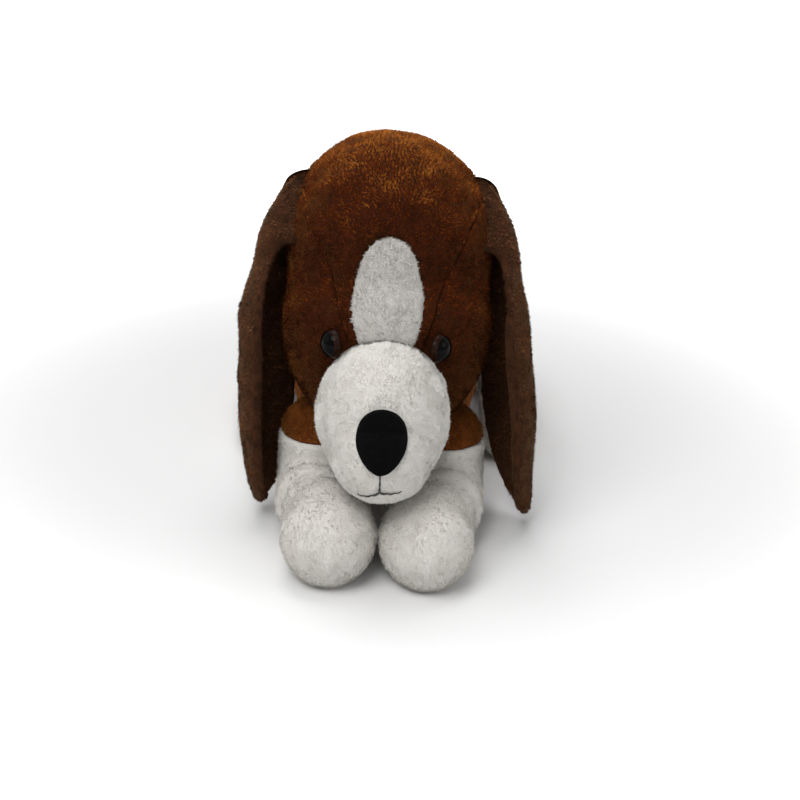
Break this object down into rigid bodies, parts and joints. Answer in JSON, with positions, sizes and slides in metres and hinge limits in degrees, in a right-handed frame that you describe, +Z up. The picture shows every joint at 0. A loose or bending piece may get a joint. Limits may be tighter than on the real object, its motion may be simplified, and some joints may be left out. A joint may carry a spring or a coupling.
{
  "type": "plush dog",
  "caption": "Stuffed plush hound lying on its belly with a round white muzzle, long hanging brown ears and its chin on its forelegs",
  "frame": {"origin": "on the ground, below the middle of the box around the lying toy", "axes": "+Z up, the dog faces -Y, its left side is +X"},
  "size_m": [0.1428, 0.3416, 0.1766],
  "materials": {
    "chestnut_plush": "short soft pile",
    "ear_plush": "short soft pile",
    "tan_plush": "short soft pile",
    "white_plush": "short soft pile",
    "polyester_stuffing": "loose fibre",
    "black_felt": "matte felt",
    "black_thread": "thread",
    "tan_thread": "thread",
    "eye_plastic": "polished",
    "washer_plastic": "moulded"
  },
  "bodies": {
    "torso": {"chest_panel": "tan_plush", "back_panel_left": "tan_plush", "back_panel_right": "tan_plush", "belly_panel": "white_plush", "torso_filling": "polyester_stuffing", "closing_stitches": "tan_thread"},
    "head": {"muzzle_panel": "white_plush", "blaze_panel": "white_plush", "forehead_panel": "chestnut_plush", "cheek_panel_left": "chestnut_plush", "cheek_panel_right": "chestnut_plush", "head_back_panel": "chestnut_plush", "throat_panel": "white_plush", "head_filling": "polyester_stuffing", "nose": "black_felt", "mouth_stitches": "black_thread", "eye_left": "eye_plastic", "eye_right": "eye_plastic", "eye_washer_left": "washer_plastic", "eye_washer_right": "washer_plastic"},
    "ear_left": {"ear_outer_left": "ear_plush", "ear_inner_left": "ear_plush"},
    "ear_right": {"ear_outer_right": "ear_plush", "ear_inner_right": "ear_plush"},
    "foreleg_left": {"shoulder_sleeve_left": "tan_plush", "foreleg_outer_left": "white_plush", "foreleg_inner_left": "white_plush", "foreleg_filling_left": "polyester_stuffing"},
    "foreleg_right": {"shoulder_sleeve_right": "tan_plush", "foreleg_outer_right": "white_plush", "foreleg_inner_right": "white_plush", "foreleg_filling_right": "polyester_stuffing"},
    "hindleg_left": {"thigh_outer_left": "tan_plush", "thigh_inner_left": "white_plush", "foot_left": "white_plush", "hindleg_filling_left": "polyester_stuffing"},
    "hindleg_right": {"thigh_outer_right": "tan_plush", "thigh_inner_right": "white_plush", "foot_right": "white_plush", "hindleg_filling_right": "polyester_stuffing"},
    "tail": {"tail_sleeve": "tan_plush", "tail_tip": "white_plush", "tail_filling": "polyester_stuffing"}
  },
  "joints": [
    {"name": "head_nod", "type": "hinge", "parent": "torso", "child": "head", "pos_m": [0, -0.02046, 0.05], "axis": [-1, 0, 0], "range_deg": [0, 12]},
    {"name": "ear_lift_left", "type": "hinge", "parent": "head", "child": "ear_left", "pos_m": [0.0411, -0.07846, 0.14528], "axis": [0, -0.6947, -0.7193], "range_deg": [0, 60]},
    {"name": "ear_lift_right", "type": "hinge", "parent": "head", "child": "ear_right", "pos_m": [-0.0411, -0.07846, 0.14528], "axis": [0, 0.6947, 0.7193], "range_deg": [0, 60]},
    {"name": "foreleg_splay_left", "type": "hinge", "parent": "torso", "child": "foreleg_left", "pos_m": [0.02782, -0.09035, 0], "axis": [0, 0, 1], "range_deg": [0, 15]},
    {"name": "foreleg_splay_right", "type": "hinge", "parent": "torso", "child": "foreleg_right", "pos_m": [-0.02782, -0.09035, 0], "axis": [0, 0, -1], "range_deg": [0, 15]},
    {"name": "hindleg_splay_left", "type": "hinge", "parent": "torso", "child": "hindleg_left", "pos_m": [0.04918, 0.07561, 0], "axis": [0, 0, 1], "range_deg": [0, 25]},
    {"name": "hindleg_splay_right", "type": "hinge", "parent": "torso", "child": "hindleg_right", "pos_m": [-0.04918, 0.07561, 0], "axis": [0, 0, -1], "range_deg": [0, 25]},
    {"name": "tail_wag", "type": "hinge", "parent": "torso", "child": "tail", "pos_m": [0, 0.10448, 0.054], "axis": [0, 0, 1], "range_deg": [-35, 35], "stiffness_Nm_per_rad": 0.02}
  ]
}
